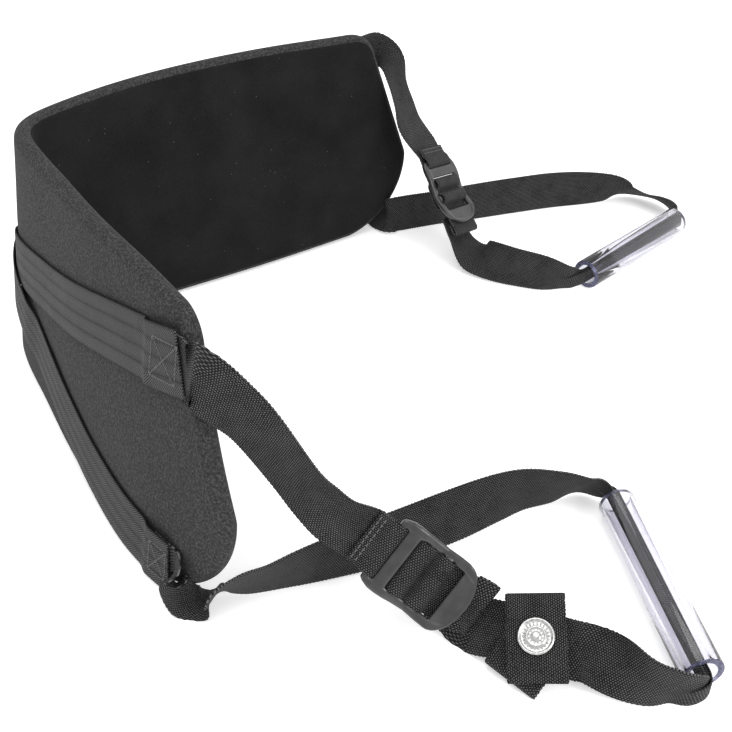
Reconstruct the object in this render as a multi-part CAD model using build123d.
from build123d import *

import math
import os

# Padded back sling: a bent foam pad that stands on its lower edge, two flat bands across its back, and at
# each end an adjustable webbing loop with a ladder-lock buckle and a clear tube as the hand grip.
# Millimetres. The origin is the middle of the pad's bottom edge, +Z is up, +Y points into the open side of
# the pad towards the grips, and +X is the side of the loop that carries the snap keeper.

# ---- pad ----
PAD_HEIGHT = 217.0
PAD_THICKNESS = 15.0
COVER = 1.5
ROUND_DROP = 82.0           # height of the widest point of each rounded end
BOTTOM_SETBACK = 68.0       # how far the bottom edge stops short of the widest point
CORNER = 20.0               # size of the small top corner

# Mid-thickness line of the pad in plan, from the far end to the near end, at the bottom and at the top.
BOTTOM_LINE = [(-330, 336), (-283, 290), (-235, 243), (-188, 198), (-131, 140), (-80, 86), (-30, 30), (0, 0),
               (40, 17), (84, 54), (134, 97), (190, 149), (232, 193), (268, 250), (292, 306)]
TOP_LINE = [(-318, 344), (-276, 298), (-233, 252), (-196, 200), (-141, 135), (-88, 88), (-30, 52), (12, 40),
            (46, 60), (88, 101), (141, 154), (191, 209), (227, 247), (258, 283), (288, 326)]
# Each end: its widest point in plan, the way it points, and how far the top edge stops short of it.
FAR_END = ((-281, 289), (-0.69, 0.72), 48.0)
NEAR_END = ((277, 285), (0.5, 0.866), 42.0)

# ---- webbing ----
WEB_WIDTH = 38.0
WEB_THICK = 2.0
BAND_WIDTH = 44.0
BAND_THICK = 1.4
SEAT = 0.4                  # clearance between stacked layers
STITCH = 0.5

# ---- grip tubes ----
TUBE_LENGTH = 152.4
TUBE_RADIUS = 14.3
BORE_RADIUS = 9.55
NEAR_TUBE = (201.7, 556.0)
NEAR_TUBE_AXIS = (0.931, 0.365)
FAR_TUBE = (-246.7, 535.0)
FAR_TUBE_AXIS = (0.824, -0.566)
FOLDED_WIDTH = 13.0         # the webbing bunches to this inside the bore
FOLDED_THICK = 6.0

# ---- ladder-lock buckles, in the buckle's own frame: x towards the thumb tab, z out of its face ----
BAR_RADIUS = 2.5
RAIL_IN = 19.9
RAIL_OUT = 26.0
PLATE = (6.4, 15.0)
LADDER_BARS = (21.5, 36.5)
LADDER_WIDTH = 6.4
TAB_START = 50.0
TAB_TIP = 65.0
NEAR_BUCKLE = Vector(255, 378, 61)
NEAR_ALONG = Vector(0.135, 0.842, -0.522)
NEAR_ACROSS = Vector(-0.54, 0.44, 0.72)
FAR_BUCKLE = Vector(-242, 332, 89)
FAR_ALONG = Vector(0.44, 0.533, -0.718)
FAR_ACROSS = Vector(-0.879, 0.419, -0.228)

# ---- snap keeper on the near loop ----
KEEPER = Vector(270.5, 480.4, 17)
KEEPER_RUN = Vector(0.15, 0.985, 0.03)
KEEPER_ACROSS = Vector(-0.885, 0.10, 0.455)
CAP_RADIUS = 12.0
SNAP_RADIUS = 6.0
POST_RADIUS = 1.6

Z_AXIS = Vector(0, 0, 1)


def frame(origin, along, across):
    """Plane with x along, y across and z out of the face."""
    return Plane(origin=origin, x_dir=along.normalized(), z_dir=along.cross(across).normalized())


NEAR_PLANE = frame(NEAR_BUCKLE, NEAR_ALONG, NEAR_ACROSS)
FAR_PLANE = frame(FAR_BUCKLE, FAR_ALONG, FAR_ACROSS)
KEEPER_PLANE = frame(KEEPER, KEEPER_RUN, KEEPER_ACROSS)


def save(name, shape):
    os.makedirs("parts", exist_ok=True)
    export_step(shape, f"parts/{name}.step")


# ------------------------------------------------------------------ pad

def offset_line(points, distance):
    """The plan line moved sideways; positive is towards the open side."""
    moved = []
    for i, (x, y) in enumerate(points):
        x0, y0 = points[max(i - 1, 0)]
        x1, y1 = points[min(i + 1, len(points) - 1)]
        length = math.hypot(x1 - x0, y1 - y0)
        moved.append((x - distance * (y1 - y0) / length, y + distance * (x1 - x0) / length))
    return moved


def line_at(height):
    """The pad's mid line in plan at a height."""
    t = height / PAD_HEIGHT
    return [(a[0] + t * (b[0] - a[0]), a[1] + t * (b[1] - a[1])) for a, b in zip(BOTTOM_LINE, TOP_LINE)]


def strip_wire(height, low, high):
    """The outline of the wall in plan at a height, between two offsets from its mid line."""
    outside = [Vector(x, y, height) for x, y in offset_line(line_at(height), low)]
    inside = [Vector(x, y, height) for x, y in offset_line(line_at(height), high)]
    return Wire([Spline(outside), Line(outside[-1], inside[-1]), Spline(inside[::-1]), Line(inside[0], outside[0])])


def wall(low, high, z0, z1):
    """The bent pad wall between two offsets from its mid line and two heights."""
    return Solid.make_loft([strip_wire(z0, low, high), strip_wire(z1, low, high)], ruled=True)


def end_cutter(end, inset):
    """Everything past the rounded outline of one end."""
    spot, heading, setback = end
    plane = Plane(origin=(*spot, 0), x_dir=(*heading, 0), z_dir=(heading[1], -heading[0], 0))
    low_corner = (-BOTTOM_SETBACK, inset)
    low_middle = (-0.33 * BOTTOM_SETBACK - inset, 0.29 * ROUND_DROP + inset)
    widest = (-inset, ROUND_DROP)
    high_corner = (-setback + 6 - inset, PAD_HEIGHT - inset - CORNER)
    high_middle = (-setback - 2 - inset, PAD_HEIGHT - inset - 6)
    top_edge = (-setback - CORNER, PAD_HEIGHT - inset)
    below = (-BOTTOM_SETBACK, -30)
    above = (-setback - CORNER, PAD_HEIGHT + 30)
    above_out = (110, PAD_HEIGHT + 30)
    below_out = (110, -30)
    shape = Face(Wire([
        Line(below, low_corner),
        ThreePointArc(low_corner, low_middle, widest),
        Line(widest, high_corner),
        ThreePointArc(high_corner, high_middle, top_edge),
        Line(top_edge, above),
        Line(above, above_out),
        Line(above_out, below_out),
        Line(below_out, below),
    ]))
    return extrude(plane * shape, amount=60, both=True)


def trimmed(shape, inset):
    return shape - end_cutter(FAR_END, inset) - end_cutter(NEAR_END, inset)


def make_pad():
    half = PAD_THICKNESS / 2
    whole = trimmed(wall(-half, half, 0, PAD_HEIGHT), 0)
    top = PAD_HEIGHT - COVER
    filling = trimmed(wall(-half + COVER, half + 4, COVER, top), COVER)
    save("pad_outer_cover", whole - filling)
    save("pad_foam_core", trimmed(wall(-half + COVER, half - COVER, COVER, top), COVER))
    save("pad_inner_cover", trimmed(wall(half - COVER, half, COVER, top), COVER))


# ------------------------------------------------------------------ ribbons

def catmull(a, b, c, d, t):
    return (b * 2 + (c - a) * t + (a * 2 - b * 5 + c * 4 - d) * t ** 2 + (b * 3 - a - c * 3 + d) * t ** 3) * 0.5


def refine(stations, steps):
    """Adds smooth stations between the given ones."""
    out = []
    last = len(stations) - 1
    for i in range(last):
        quad = [stations[max(i - 1, 0)], stations[i], stations[i + 1], stations[min(i + 2, last)]]
        for k in range(steps):
            out.append(tuple(catmull(*[s[j] for s in quad], k / steps) for j in range(4)))
    out.append(stations[-1])
    return out


def ribbon(stations, steps=3):
    """A closed strip through stations of (centre, across, width, thickness)."""
    line = refine(stations, steps)
    rings = []
    for i, (centre, across, width, thick) in enumerate(line):
        forward = line[min(i + 1, len(line) - 1)][0] - line[max(i - 1, 0)][0]
        across = (across - forward * (across.dot(forward) / forward.dot(forward))).normalized()
        normal = forward.cross(across).normalized()
        rings.append([centre + across * (sy * width / 2) + normal * (sz * thick / 2)
                      for sy, sz in ((-1, -1), (1, -1), (1, 1), (-1, 1))])
    faces = [Face(Wire.make_polygon(rings[0], close=True)), Face(Wire.make_polygon(rings[-1], close=True))]
    for ring, following in zip(rings, rings[1:]):
        for k in range(4):
            a, b = ring[k], ring[(k + 1) % 4]
            c, d = following[(k + 1) % 4], following[k]
            faces.append(Face(Wire.make_polygon([a, b, c], close=True)))
            faces.append(Face(Wire.make_polygon([a, c, d], close=True)))
    strip = Solid(Shell(faces))
    if strip.volume < 0:
        strip = Solid(Shell([-face for face in faces]))
    return strip


def station(x, y, z, across, width=WEB_WIDTH, thick=WEB_THICK):
    return (Vector(x, y, z), Vector(*across).normalized(), width, thick)


def in_plane(plane, x, y, z, across=(0, 1, 0), width=WEB_WIDTH, thick=WEB_THICK):
    """A station given in a buckle's or the keeper's own frame."""
    spot = plane.from_local_coords(Vector(x, y, z))
    tip = plane.from_local_coords(Vector(x, y, z) + Vector(*across))
    return (spot, (tip - spot).normalized(), width, thick)


def outer_face():
    """The outer face of the pad wall before its ends are rounded."""
    return wall(-PAD_THICKNESS / 2, PAD_THICKNESS / 2, 0, PAD_HEIGHT).faces().sort_by(SortBy.AREA)[-1]


OUTER = outer_face()


def on_pad(share, height, lift):
    """A point off the outer face: share of the way from the far end to the near end, height, and lift."""
    spot = OUTER.position_at(share, height / PAD_HEIGHT)
    beside = OUTER.position_at(share + 0.002, height / PAD_HEIGHT)
    out = (beside - spot).cross(Z_AXIS).normalized()
    return spot + out * lift


def pad_station(share, height, lift, width=WEB_WIDTH, thick=WEB_THICK, up=1):
    """A station lying against the outer face."""
    centre = on_pad(share, height, lift)
    return (centre, (on_pad(share, height + 10, lift) - centre).normalized() * up, width, thick)


# Heights of the two bands across the back, and how far each lies off the pad: flat on it, over the other
# band where they cross, and over the end of a strap at both ends.
FLAT = SEAT + BAND_THICK / 2
OVER_BAND = FLAT + BAND_THICK + 1.0
OVER_STRAP = FLAT + WEB_THICK + 0.9
UNDER_BAND = SEAT + WEB_THICK / 2
RISING = [(0.132, 23, OVER_STRAP), (0.165, 23.2, OVER_STRAP), (0.185, 23.6, FLAT), (0.24, 27, FLAT),
          (0.30, 36, FLAT), (0.36, 50, FLAT), (0.42, 64, FLAT), (0.48, 80, FLAT), (0.52, 92, FLAT),
          (0.56, 105, FLAT), (0.622, 117, FLAT), (0.68, 128, FLAT), (0.735, 141, FLAT), (0.80, 158, FLAT),
          (0.85, 171, FLAT), (0.87, 176.5, OVER_STRAP), (0.912, 189, OVER_STRAP)]
FALLING = [(0.134, 189, OVER_STRAP), (0.17, 179, OVER_STRAP), (0.19, 173, FLAT), (0.24, 158, FLAT),
           (0.30, 142, FLAT), (0.36, 129, FLAT), (0.40, 120, FLAT), (0.43, 113, OVER_BAND), (0.48, 100, OVER_BAND),
           (0.52, 88, OVER_BAND), (0.56, 74, OVER_BAND), (0.60, 65, OVER_BAND), (0.632, 57, FLAT),
           (0.677, 46, FLAT), (0.732, 36, FLAT), (0.777, 28.5, FLAT), (0.83, 24.5, FLAT), (0.872, 23.2, FLAT),
           (0.888, 23, OVER_STRAP), (0.913, 23, OVER_STRAP)]


def smooth_row(rows, steps):
    """Extra rows between the given ones, smooth in share and height and plain in lift."""
    out = []
    last = len(rows) - 1
    for i in range(last):
        quad = [rows[max(i - 1, 0)], rows[i], rows[i + 1], rows[min(i + 2, last)]]
        for k in range(steps):
            t = k / steps
            lift = quad[1][2] + t * (quad[2][2] - quad[1][2])
            out.append((catmull(*[q[0] for q in quad], t), catmull(*[q[1] for q in quad], t), lift))
    out.append(rows[-1])
    return out


def band(rows):
    """A flat band across the back of the pad."""
    return ribbon([pad_station(*row, BAND_WIDTH, BAND_THICK) for row in smooth_row(rows, 4)], 1)


# ------------------------------------------------------------------ straps

def threaded(plane, tail_rise):
    """The webbing inside a buckle: up behind the first ladder bar, over both bars, down before the tab,
    and out under the tab as a tail that folds back under itself."""
    path = [(46, -1.6, -9.2), (32, 0, -9.2), (21, 0, -8.4), (17.3, 0, -5.2), (16.6, 0, -1), (18.0, 0, 2.7),
            (21.5, 0, 3.7), (25.0, 0, 3.0), (29.0, 0, 1.4), (33.0, 0, 3.0), (36.5, 0, 3.7), (40.2, 0, 2.8),
            (42.4, 0, -0.8), (44.5, 0.3, -3.2), (50, 1, -3.4), (60, 0.4 * tail_rise, -2.2),
            (67, 0.8 * tail_rise, -1.6), (73, tail_rise, -1.6), (75.2, tail_rise, -3.2),
            (73, tail_rise, -4.8), (64, 0.7 * tail_rise, -5.0)]
    return ribbon([in_plane(plane, *point) for point in path], 2)


def sewn_loop(plane, lead_in):
    """The last stretch of an upper strap: under the end bar, round it and back on top of itself."""
    reach = BAR_RADIUS + 0.3 + WEB_THICK / 2
    arc = [(reach * math.cos(math.radians(a)), reach * math.sin(math.radians(a))) for a in range(-90, 91, 30)]
    path = [(-16, -reach + 1.4), (-8, -reach + 0.4)] + arc + [(-5, reach - 0.5), (-9, 1.4), (-17, 0.9)]
    return lead_in + [in_plane(plane, x, 0, z) for x, z in path]


def upright(x, y, lean, toward, width=WEB_WIDTH, foot=0.6):
    """Webbing on its edge: its foot at x, y, and its top leaning sideways by some degrees."""
    side = Vector(*toward, 0).normalized()
    across = Z_AXIS * math.cos(math.radians(lean)) + side * math.sin(math.radians(lean))
    return (Vector(x, y, foot) + across * (width / 2), across, width, WEB_THICK)


LEAN_SIDE = (0.87, 0.5)      # the way an upright strap's top leans, when its lean is positive


def bore_run(centre, axis):
    """Bunched webbing through a tube."""
    spots = (-79, -70, -45, 0, 45, 70, 79)
    return [station(centre[0] + s * axis[0], centre[1] + s * axis[1], TUBE_RADIUS, (0, 0, 1),
                    FOLDED_WIDTH, FOLDED_THICK) for s in spots]


NEAR_LOWER = [
    pad_station(0.893, 23, UNDER_BAND, up=-1),
    pad_station(0.906, 22.7, UNDER_BAND, up=-1),
    pad_station(0.917, 22.5, UNDER_BAND, up=-1),
    station(273, 236, 14.6, (0.40, -0.22, -0.89), 31),
    station(280.5, 245.5, 11.0, (0.56, -0.31, -0.77), 27),
    station(279.5, 255, 7.6, (0.75, -0.41, -0.52), 24),
    station(276, 262, 8.2, (0.95, -0.1, 0.1), 27),
    station(273, 268.5, 15.4, (0.6, 0.27, 0.75), 36),
    upright(260, 279, 22, LEAN_SIDE, 37),
    upright(253, 297, 14, LEAN_SIDE, 36),
    upright(243, 318, 4, LEAN_SIDE),
    upright(225, 352, -12, LEAN_SIDE),
    upright(204, 387, -30, LEAN_SIDE),
    upright(181, 416, -34, LEAN_SIDE),
    upright(155, 443, -20, LEAN_SIDE),
    upright(138, 461, -5, LEAN_SIDE),
    upright(125, 482, 12, LEAN_SIDE),
    station(120, 504, 17, (0.45, 0.25, 0.85), 34),
    station(119.5, 517, 15.5, (0.2, -0.1, 1), 24, 4),
    station(123, 524.5, 14.5, (0, 0, 1), 15, 5.6),
]
NEAR_RUN = [
    station(282.5, 585.5, 14.8, (0, 0, 1), 17, 5.0),
    station(288.5, 578.5, 17, (0, 0, 1), 27, 3.4),
    station(291, 566, 19.8, (0.1, 0, 1), 36),
    station(290.5, 548, 20, (-0.2, 0, 0.97)),
    in_plane(KEEPER_PLANE, 38, 0, 0),
    in_plane(KEEPER_PLANE, 22, 0, 0),
    in_plane(KEEPER_PLANE, 4, 0, 0),
    in_plane(KEEPER_PLANE, -12, 0, 0),
    in_plane(KEEPER_PLANE, -25, 0, 0),
    in_plane(NEAR_PLANE, 77, -6.5, -8.6),
    in_plane(NEAR_PLANE, 68, -5.4, -10.8),
    in_plane(NEAR_PLANE, 57, -3.4, -10.2),
    in_plane(NEAR_PLANE, 48, -1.7, -9.4),
]
FAR_LOWER = [
    pad_station(0.160, 23, UNDER_BAND),
    pad_station(0.142, 22.7, UNDER_BAND),
    pad_station(0.129, 22.5, UNDER_BAND + 2.0),
    station(-267, 252.5, 15.0, (0.0, 0.3, 0.95), 30),
    station(-271, 262, 9.8, (-0.55, 0.58, 0.6), 27),
    station(-260.2, 274, 10.6, (-0.5, 0.5, 0.7), 29),
    upright(-252, 290, -6, LEAN_SIDE),
    upright(-276, 331, -6, LEAN_SIDE),
    upright(-297, 371, -16, LEAN_SIDE),
    upright(-319, 411, -20, LEAN_SIDE),
    upright(-342, 455, -16, LEAN_SIDE),
    upright(-366, 503, 14, LEAN_SIDE),
    station(-371, 532, 14, (0.75, 0.3, 0.6), 34),
    station(-362, 556, 13, (0.8, -0.4, 0.55), 30),
    station(-345, 573, 14, (0.3, -0.5, 0.8), 26, 3),
    station(-327, 580, 14.3, (0, 0, 1), 20, 4.4),
    station(-316, 580.5, 14.3, (0, 0, 1), 15, 5.6),
]
FAR_RUN = [
    station(-175.5, 484, 14.8, (0, 0, 1), 17, 5.0),
    station(-170, 474, 17, (0.2, 0, 1), 28, 3.2),
    station(-169, 452, 19.6, (-0.1, 0, 1), 36),
    station(-175, 420, 19.6, (-0.25, 0.1, 0.96)),
    station(-187, 393, 17.5, (-0.55, 0.25, 0.76)),
    station(-200, 378, 15, (-0.86, 0.42, 0.2)),
    in_plane(FAR_PLANE, 77, 1, -13),
    in_plane(FAR_PLANE, 60, -0.6, -10.2),
    in_plane(FAR_PLANE, 53, -1.3, -9.8),
]
NEAR_UPPER = [
    pad_station(0.877, 178, UNDER_BAND),
    pad_station(0.908, 186, UNDER_BAND),
    pad_station(0.922, 187.5, UNDER_BAND + 1.8),
    station(266.5, 269, 192, (-0.24, 0.42, 0.87)),
    station(265, 285, 175, (-0.18, 0.56, 0.81)),
    station(261, 300, 154, (0.02, 0.63, 0.78)),
    station(257, 321, 115, (0.1, 0.72, 0.68)),
    station(256, 334, 96, (-0.07, 0.70, 0.70)),
    station(256, 347, 82, (-0.25, 0.62, 0.74)),
]
FAR_UPPER = [
    pad_station(0.164, 181, UNDER_BAND),
    pad_station(0.142, 187, UNDER_BAND),
    pad_station(0.129, 190, UNDER_BAND + 2.4),
    station(-271, 264, 188, (-0.35, 0.15, 0.92), 34),
    station(-266, 279, 182, (-0.72, 0.32, 0.6), 28),
    station(-255, 288, 165, (-0.9, 0.36, 0.0), 28),
    station(-247, 297, 146, (-0.9, 0.4, -0.15), 32),
    station(-244, 304, 126, (-0.88, 0.42, -0.2)),
]


def make_straps():
    save("near_upper_strap", ribbon(sewn_loop(NEAR_PLANE, NEAR_UPPER)))
    save("far_upper_strap", ribbon(sewn_loop(FAR_PLANE, FAR_UPPER)))
    near = NEAR_LOWER + bore_run(NEAR_TUBE, NEAR_TUBE_AXIS) + NEAR_RUN
    far = FAR_LOWER + bore_run(FAR_TUBE, FAR_TUBE_AXIS) + FAR_RUN
    save("near_lower_strap", ribbon(near))
    save("far_lower_strap", ribbon(far))
    save("near_adjuster_webbing", threaded(NEAR_PLANE, 5))
    save("far_adjuster_webbing", threaded(FAR_PLANE, 0))


# ------------------------------------------------------------------ hard parts

def make_tube(name, centre, axis):
    plane = Plane(origin=(centre[0], centre[1], TUBE_RADIUS), z_dir=(axis[0], axis[1], 0))
    ring = Circle(TUBE_RADIUS) - Circle(BORE_RADIUS)
    tube = extrude(plane * ring, amount=TUBE_LENGTH / 2, both=True)
    save(name, tube)


def rail_profile():
    """Side view of a rail: high at the plate, low in the middle and high again at the tab."""
    top = Spline((5, 2.6), (16, 2.6), (33, -0.6), (50, 2.2), (60, 3.0))
    bottom = Spline((60, 0.2), (50, -1.6), (33, -4.8), (16, -2.4), (5, -2.0))
    return Face(Wire([top, Line((60, 3.0), (60, 0.2)), bottom, Line((5, -2.0), (5, 2.6))]))


def make_buckle(name, plane):
    side = Plane(origin=(0, 0, 0), x_dir=(1, 0, 0), z_dir=(0, -1, 0))
    body = None
    for sign in (-1, 1):
        rail = extrude(side * rail_profile(), amount=(RAIL_OUT - RAIL_IN) / 2, both=True)
        rail = Pos(0, sign * (RAIL_OUT + RAIL_IN) / 2, 0) * rail
        ear = Pos(3.2, sign * (RAIL_IN + 1.4), -0.4) * Box(11.4, 2.8, 4.4)
        body = rail + ear if body is None else body + rail + ear
    plate = Pos((PLATE[0] + PLATE[1]) / 2, 0, 0.6) * Box(PLATE[1] - PLATE[0], 2 * RAIL_IN + 1, 3.6)
    body = body + plate
    for x in LADDER_BARS:
        body = body + Pos(x, 0, -0.4) * Box(LADDER_WIDTH, 2 * RAIL_IN + 1, 3.2)
    bar = Plane.XZ * Circle(BAR_RADIUS)
    body = body + extrude(bar, amount=RAIL_IN + 2.4, both=True)
    tab = Ellipse(TAB_TIP - TAB_START, RAIL_OUT)
    tab_face = Pos(TAB_START, 0, 0) * (tab & Pos(25, 0, 0) * Rectangle(50, 60))
    body = body + Pos(0, 0, 0.2) * extrude(tab_face, amount=2.6)
    save(name, plane * body)


def disc(radius, low, high):
    """A round snap part in the keeper's frame."""
    return KEEPER_PLANE * (Pos(0, 0, (low + high) / 2) * Cylinder(radius, high - low))


WRAP_FOLD = (-10.5, -28.0)          # middle of the fold below the run, in the keeper's frame
WRAP_WAY = (0.37, 0.929)            # way the wrap climbs across the run
WRAP_LAYER = 3.1                    # height of its two layers off the middle of the run
FLAP_WAY = (0.27, -0.963)           # way the flap comes down over the wrap
FLAP_FRONT = 8.0
FLAP_BACK = -6.4


def keeper_strip(origin, way, path, steps):
    """A strip in the keeper's frame through (distance along its way, height) pairs."""
    side = (way[1], -way[0], 0)
    return ribbon([in_plane(KEEPER_PLANE, origin[0] + s * way[0], origin[1] + s * way[1], z, side)
                   for s, z in path], steps)


def make_keeper():
    front = [(47, WRAP_LAYER), (30, WRAP_LAYER), (8, WRAP_LAYER), (1.5, 2.7), (-0.6, 0)]
    back = [(1.5, -2.9), (8, -WRAP_LAYER - 0.5), (30, -WRAP_LAYER - 0.5), (44, -WRAP_LAYER - 0.5)]
    save("keeper_wrap_strip", keeper_strip(WRAP_FOLD, WRAP_WAY, front + back, 1))
    behind = [(-28.8, 2.0), (-29.6, -0.6), (-28.6, -4.4), (-25, FLAP_BACK), (0, FLAP_BACK), (12, FLAP_BACK)]
    save("keeper_back_strip", keeper_strip((0, 0), FLAP_WAY, behind, 2))
    over = [(-28.0, 4.9), (-25, 6.9), (-19, FLAP_FRONT), (-8, FLAP_FRONT), (8, FLAP_FRONT), (17, FLAP_FRONT),
            (28.5, 6.2)]
    hole = disc(POST_RADIUS + 0.15, FLAP_FRONT - 3, FLAP_FRONT + 3)
    save("keeper_flap_strip", keeper_strip((0, 0), FLAP_WAY, over, 2) - hole)


def make_snap():
    seat = FLAP_FRONT + WEB_THICK / 2 + 0.3
    cap = Pos(0, 0, seat + 0.8) * Cylinder(CAP_RADIUS, 1.6)
    dome = Pos(0, 0, seat + 1.5) * Cylinder(CAP_RADIUS - 3.4, 1.0)
    rim = Pos(0, 0, seat + 1.6) * Torus(CAP_RADIUS - 1.0, 0.9)
    post = Pos(0, 0, seat - 1.4) * Cylinder(POST_RADIUS, 3.0)
    save("snap_cap", KEEPER_PLANE * (cap + dome + rim + post))
    save("snap_socket", disc(SNAP_RADIUS, 5.3, 6.8) - disc(POST_RADIUS, 5.0, 7.0))
    save("snap_stud", disc(SNAP_RADIUS, 4.25, 4.8) + disc(1.4, 4.8, 6.0))


def thread(start, end):
    """A straight run of stitching on a band, between two (share, height) points."""
    lift = OVER_STRAP + BAND_THICK / 2 + 0.1 + STITCH / 2
    spots = [on_pad(start[0] + t * (end[0] - start[0]), start[1] + t * (end[1] - start[1]), lift)
             for t in (0, 0.25, 0.5, 0.75, 1)]
    out = (on_pad(start[0], start[1], lift + 5) - spots[0]).normalized()
    across = (spots[-1] - spots[0]).cross(out).normalized()
    return ribbon([(spot, across, 0.9, STITCH) for spot in spots], 1)


def box_stitch(name, share, height, half_share, half_height, slope):
    """A sewn box with a cross, through the band, the end of a strap and the pad."""
    a, b, c, d = [(share + i * half_share, height + j * half_height + i * slope)
                  for i, j in ((-1, -1), (1, -1), (1, 1), (-1, 1))]
    lines = [thread(a, b), thread(b, c), thread(c, d), thread(d, a), thread(a, c), thread(b, d)]
    save(name, lines[0].fuse(*lines[1:]))


make_pad()
save("back_band_rising", band(RISING))
save("back_band_falling", band(FALLING))
make_straps()
make_tube("near_grip_tube", NEAR_TUBE, NEAR_TUBE_AXIS)
make_tube("far_grip_tube", FAR_TUBE, FAR_TUBE_AXIS)
make_buckle("near_ladder_buckle", NEAR_PLANE)
make_buckle("far_ladder_buckle", FAR_PLANE)
make_keeper()
make_snap()
box_stitch("near_upper_box_stitch", 0.891, 182, 0.017, 14, 4)
box_stitch("near_lower_box_stitch", 0.900, 23, 0.010, 13, 0)
box_stitch("far_upper_box_stitch", 0.152, 184, 0.012, 14, -3)
box_stitch("far_lower_box_stitch", 0.149, 23, 0.012, 13, 0)
